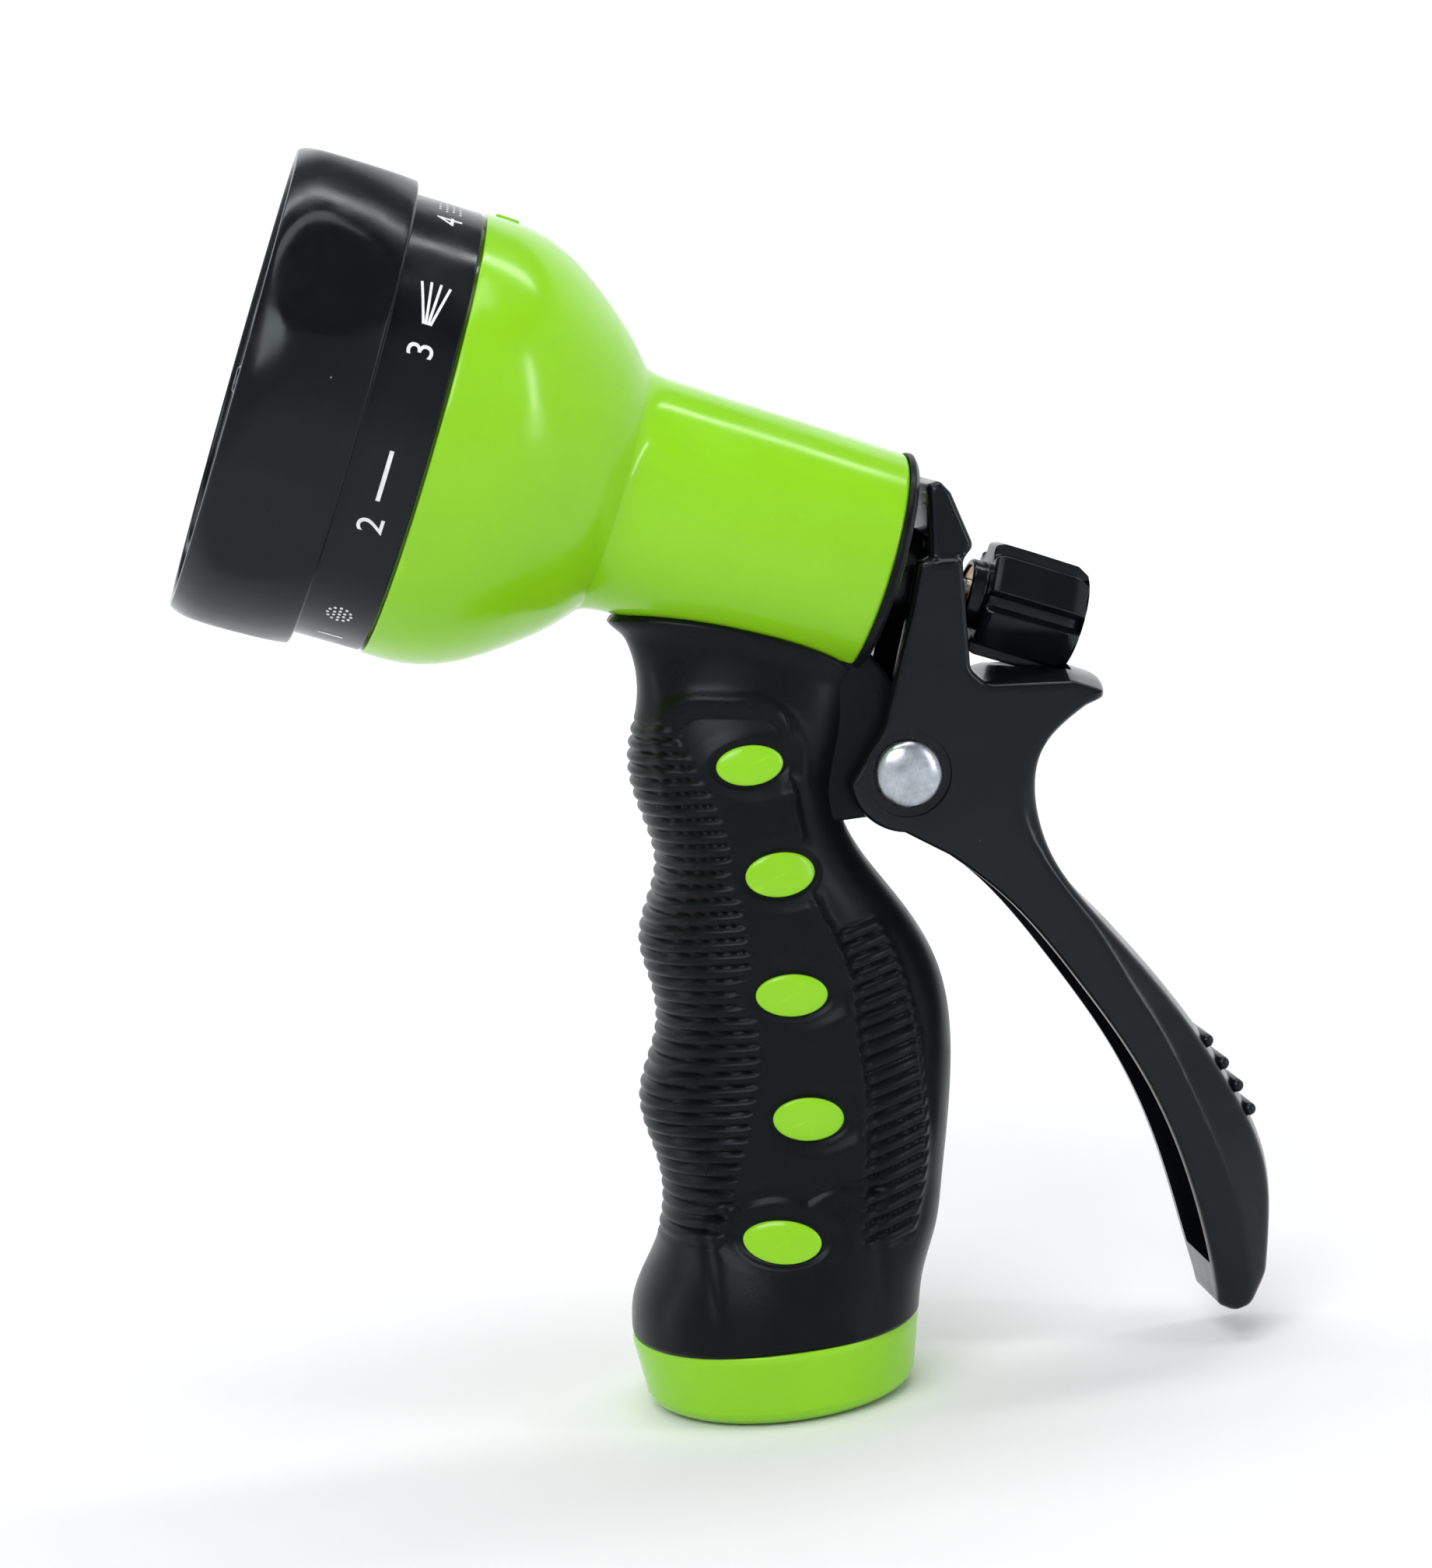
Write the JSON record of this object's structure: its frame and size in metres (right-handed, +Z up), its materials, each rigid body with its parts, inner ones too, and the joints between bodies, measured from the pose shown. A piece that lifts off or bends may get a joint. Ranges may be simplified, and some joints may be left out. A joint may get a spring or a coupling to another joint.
{
  "type": "garden hose spray gun",
  "caption": "Rear-lever garden hose spray gun: turning multi-pattern head on a bell and barrel, soft-skinned grip with a threaded hose inlet, squeeze lever and flow knob.",
  "frame": {"origin": "centre of the hose collar's bottom face, on the axis of the hose inlet", "axes": "+Z up along the hose inlet and the grip, +X back towards the lever, Y across the gun; the water leaves towards -X and upwards"},
  "size_m": [0.1452, 0.0672, 0.1799],
  "materials": {
    "green_plastic": "gloss",
    "black_plastic": "gloss",
    "face_plastic": "satin",
    "inner_plastic": "matt",
    "soft_grip": "satin",
    "seal_rubber": "matt",
    "bright_steel": "polished",
    "spring_steel": "drawn",
    "brass": "turned"
  },
  "bodies": {
    "gun": {"gun_body": "green_plastic", "grip_overmold": "soft_grip", "bell_housing": "green_plastic", "outlet_plate": "inner_plastic", "inlet_washer": "seal_rubber", "valve_seat": "seal_rubber", "pivot_pin": "bright_steel", "port_seal": "seal_rubber", "detent_pin": "inner_plastic", "plate_oring": "seal_rubber", "port_spring": "spring_steel", "detent_spring": "spring_steel", "dial_washer": "spring_steel", "dial_screw": "spring_steel", "gland_washer": "seal_rubber", "gland_nut": "black_plastic", "gland_oring": "seal_rubber", "return_spring": "spring_steel"},
    "dial": {"dial_shell": "black_plastic", "face_plate": "face_plastic", "centre_cap": "green_plastic", "chamber_disc": "inner_plastic"},
    "stem": {"valve_stem": "bright_steel", "poppet_washer": "seal_rubber", "poppet_nut": "brass"},
    "knob": {"flow_knob": "black_plastic", "knob_insert": "brass"},
    "lever": {"lever": "black_plastic"}
  },
  "joints": [
    {"name": "lever_pivot", "type": "hinge", "parent": "gun", "child": "lever", "pos_m": [0.0244, 0, 0.0871], "axis": [0, 1, 0], "range_deg": [0, 15], "stiffness_Nm_per_rad": 1.5, "springref_deg": -14.32},
    {"name": "stem_slide", "type": "slide", "parent": "gun", "child": "stem", "axis": [0.9255, 0, -0.3786], "range_m": [0, 0.0058], "deforming": ["return_spring"]},
    {"name": "knob_turn", "type": "hinge", "parent": "stem", "child": "knob", "pos_m": [0.0385, 0, 0.1093], "axis": [0.9255, 0, -0.3786], "range_deg": [-360, 360]},
    {"name": "dial_turn", "type": "hinge", "parent": "gun", "child": "dial", "pos_m": [-0.04989, 0, 0.14546], "axis": [0.9255, 0, -0.3786], "continuous": true}
  ],
  "couplings": [
    {"joint": "stem_slide", "follows": "lever_pivot", "m_per_rad": 0.0216}
  ]
}
